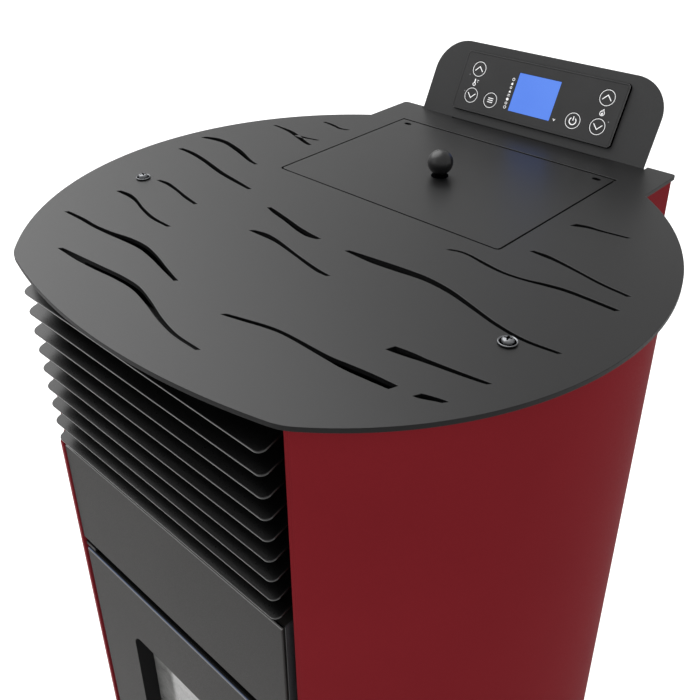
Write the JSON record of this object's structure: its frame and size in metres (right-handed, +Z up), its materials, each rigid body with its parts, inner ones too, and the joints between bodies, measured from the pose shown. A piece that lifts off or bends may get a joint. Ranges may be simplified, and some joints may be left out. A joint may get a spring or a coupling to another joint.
{
  "type": "pellet stove",
  "caption": "Round-bodied pellet stove with slotted top plate, flush fuel lid, leaning control panel, louvred air outlet, glazed door, ash drawer, fuel auger and fans.",
  "frame": {"origin": "centre of the bounding box footprint, on the floor", "axes": "+Z up, +Y to the back (flue), -Y to the front (door), +X to the right as seen from the front"},
  "size_m": [0.548, 0.5788, 1.1146],
  "materials": {
    "black_powder_coat": "matt fine-textured powder coat, black",
    "charcoal_powder_coat": "matt fine-textured powder coat, charcoal grey",
    "red_lacquer": "satin dark red paint on curved sheet steel",
    "bare_sheet_steel": "galvanised sheet steel",
    "zinc_plated_hardware": "bright zinc plated steel",
    "handle_steel": "satin steel",
    "raw_iron": "heat-resistant matt black iron",
    "fan_casting": "as-cast aluminium and pressed steel",
    "vermiculite": "pressed vermiculite board; matte_plastic stands in for it",
    "glass_fibre_rope": "braided glass fibre sealing rope",
    "black_plastic": "satin black plastic",
    "lcd_blue": "backlit blue display window",
    "ceramic_glass": "clear heat-resistant glass"
  },
  "bodies": {
    "casing": {"top_plate": "black_powder_coat", "louvre_fin_1": "black_powder_coat", "louvre_fin_2": "black_powder_coat", "louvre_fin_3": "black_powder_coat", "louvre_fin_4": "black_powder_coat", "louvre_fin_5": "black_powder_coat", "louvre_fin_6": "black_powder_coat", "louvre_fin_7": "black_powder_coat", "louvre_fin_8": "black_powder_coat", "louvre_fin_9": "black_powder_coat", "rear_panel": "black_powder_coat", "base_plate": "black_powder_coat", "control_bracket": "charcoal_powder_coat", "upper_front_panel": "charcoal_powder_coat", "side_panel_left": "red_lacquer", "side_panel_right": "red_lacquer", "hopper": "bare_sheet_steel", "auger_tube": "bare_sheet_steel", "air_intake_pipe": "bare_sheet_steel", "room_fan_housing": "bare_sheet_steel", "door_hinge_upper": "bare_sheet_steel", "door_hinge_lower": "bare_sheet_steel", "igniter": "bare_sheet_steel", "lid_pivot_pin_left": "bare_sheet_steel", "lid_pivot_pin_right": "bare_sheet_steel", "top_screw_left": "zinc_plated_hardware", "top_screw_right": "zinc_plated_hardware", "front_post_left": "raw_iron", "front_post_right": "raw_iron", "firebox": "raw_iron", "smoke_baffle": "raw_iron", "flue_outlet": "raw_iron", "exhaust_fan_housing": "fan_casting", "auger_gearmotor": "fan_casting", "firebox_liner": "vermiculite", "display_housing": "black_plastic", "mains_inlet": "black_plastic", "lcd_screen": "lcd_blue"},
    "lid": {"lid": "black_powder_coat", "lid_knob": "black_plastic"},
    "door": {"door_frame": "charcoal_powder_coat", "door_glass": "ceramic_glass", "door_gasket": "glass_fibre_rope"},
    "handle": {"door_handle": "handle_steel"},
    "drawer": {"ash_drawer": "charcoal_powder_coat"},
    "pot": {"burn_pot": "raw_iron"},
    "screw": {"auger_screw": "bare_sheet_steel"},
    "exhaust_fan": {"exhaust_impeller": "bare_sheet_steel"},
    "room_fan": {"room_fan_rotor": "bare_sheet_steel"},
    "switch": {"mains_switch": "black_plastic"},
    "body_key_up_left": {"key_up_left": "black_plastic"},
    "body_key_down_left": {"key_down_left": "black_plastic"},
    "body_key_set": {"key_set": "black_plastic"},
    "body_key_power": {"key_power": "black_plastic"},
    "body_key_up_right": {"key_up_right": "black_plastic"},
    "body_key_down_right": {"key_down_right": "black_plastic"},
    "body_foot_front_left": {"foot_front_left": "zinc_plated_hardware"},
    "body_foot_front_right": {"foot_front_right": "zinc_plated_hardware"},
    "body_foot_rear_left": {"foot_rear_left": "zinc_plated_hardware"},
    "body_foot_rear_right": {"foot_rear_right": "zinc_plated_hardware"}
  },
  "joints": [
    {"name": "lid_hinge", "type": "hinge", "parent": "casing", "child": "lid", "pos_m": [0, 0.19558, 1.038], "axis": [-1, 0, 0], "range_deg": [0, 95]},
    {"name": "door_hinge", "type": "hinge", "parent": "casing", "child": "door", "pos_m": [-0.139, -0.24962, 0.465], "axis": [0, 0, -1], "range_deg": [0, 100]},
    {"name": "handle_turn", "type": "hinge", "parent": "door", "child": "handle", "pos_m": [0.121, -0.25562, 0.452], "axis": [0, 1, 0], "range_deg": [0, 80]},
    {"name": "drawer_slide", "type": "slide", "parent": "casing", "child": "drawer", "axis": [0, -1, 0], "range_m": [0, 0.2]},
    {"name": "pot_lift", "type": "slide", "parent": "casing", "child": "pot", "axis": [0, 0, 1], "range_m": [0, 0.08]},
    {"name": "auger_turn", "type": "hinge", "parent": "casing", "child": "screw", "pos_m": [0, 0.15338, 0.387], "axis": [0, -0.7071, 0.7071], "continuous": true},
    {"name": "exhaust_fan_spin", "type": "hinge", "parent": "casing", "child": "exhaust_fan", "pos_m": [-0.06, 0.12338, 0.17], "axis": [0, 1, 0], "continuous": true},
    {"name": "room_fan_spin", "type": "hinge", "parent": "casing", "child": "room_fan", "pos_m": [0.087, 0.03838, 0.108], "axis": [1, 0, 0], "continuous": true},
    {"name": "switch_rock", "type": "hinge", "parent": "casing", "child": "switch", "pos_m": [0.119, 0.24038, 0.084], "axis": [-1, 0, 0], "range_deg": [0, 16]},
    {"name": "key_up_left_press", "type": "slide", "parent": "casing", "child": "body_key_up_left", "axis": [0, 0.8988, -0.4384], "range_m": [0, 0.0008], "stiffness_N_per_m": 600, "springref_m": -0.0008},
    {"name": "key_down_left_press", "type": "slide", "parent": "casing", "child": "body_key_down_left", "axis": [0, 0.8988, -0.4384], "range_m": [0, 0.0008], "stiffness_N_per_m": 600, "springref_m": -0.0008},
    {"name": "key_set_press", "type": "slide", "parent": "casing", "child": "body_key_set", "axis": [0, 0.8988, -0.4384], "range_m": [0, 0.0008], "stiffness_N_per_m": 600, "springref_m": -0.0008},
    {"name": "key_power_press", "type": "slide", "parent": "casing", "child": "body_key_power", "axis": [0, 0.8988, -0.4384], "range_m": [0, 0.0008], "stiffness_N_per_m": 600, "springref_m": -0.0008},
    {"name": "key_up_right_press", "type": "slide", "parent": "casing", "child": "body_key_up_right", "axis": [0, 0.8988, -0.4384], "range_m": [0, 0.0008], "stiffness_N_per_m": 600, "springref_m": -0.0008},
    {"name": "key_down_right_press", "type": "slide", "parent": "casing", "child": "body_key_down_right", "axis": [0, 0.8988, -0.4384], "range_m": [0, 0.0008], "stiffness_N_per_m": 600, "springref_m": -0.0008},
    {"name": "foot_front_left_level", "type": "slide", "parent": "casing", "child": "body_foot_front_left", "axis": [0, 0, -1], "range_m": [0, 0.015]},
    {"name": "foot_front_right_level", "type": "slide", "parent": "casing", "child": "body_foot_front_right", "axis": [0, 0, -1], "range_m": [0, 0.015]},
    {"name": "foot_rear_left_level", "type": "slide", "parent": "casing", "child": "body_foot_rear_left", "axis": [0, 0, -1], "range_m": [0, 0.015]},
    {"name": "foot_rear_right_level", "type": "slide", "parent": "casing", "child": "body_foot_rear_right", "axis": [0, 0, -1], "range_m": [0, 0.015]}
  ]
}
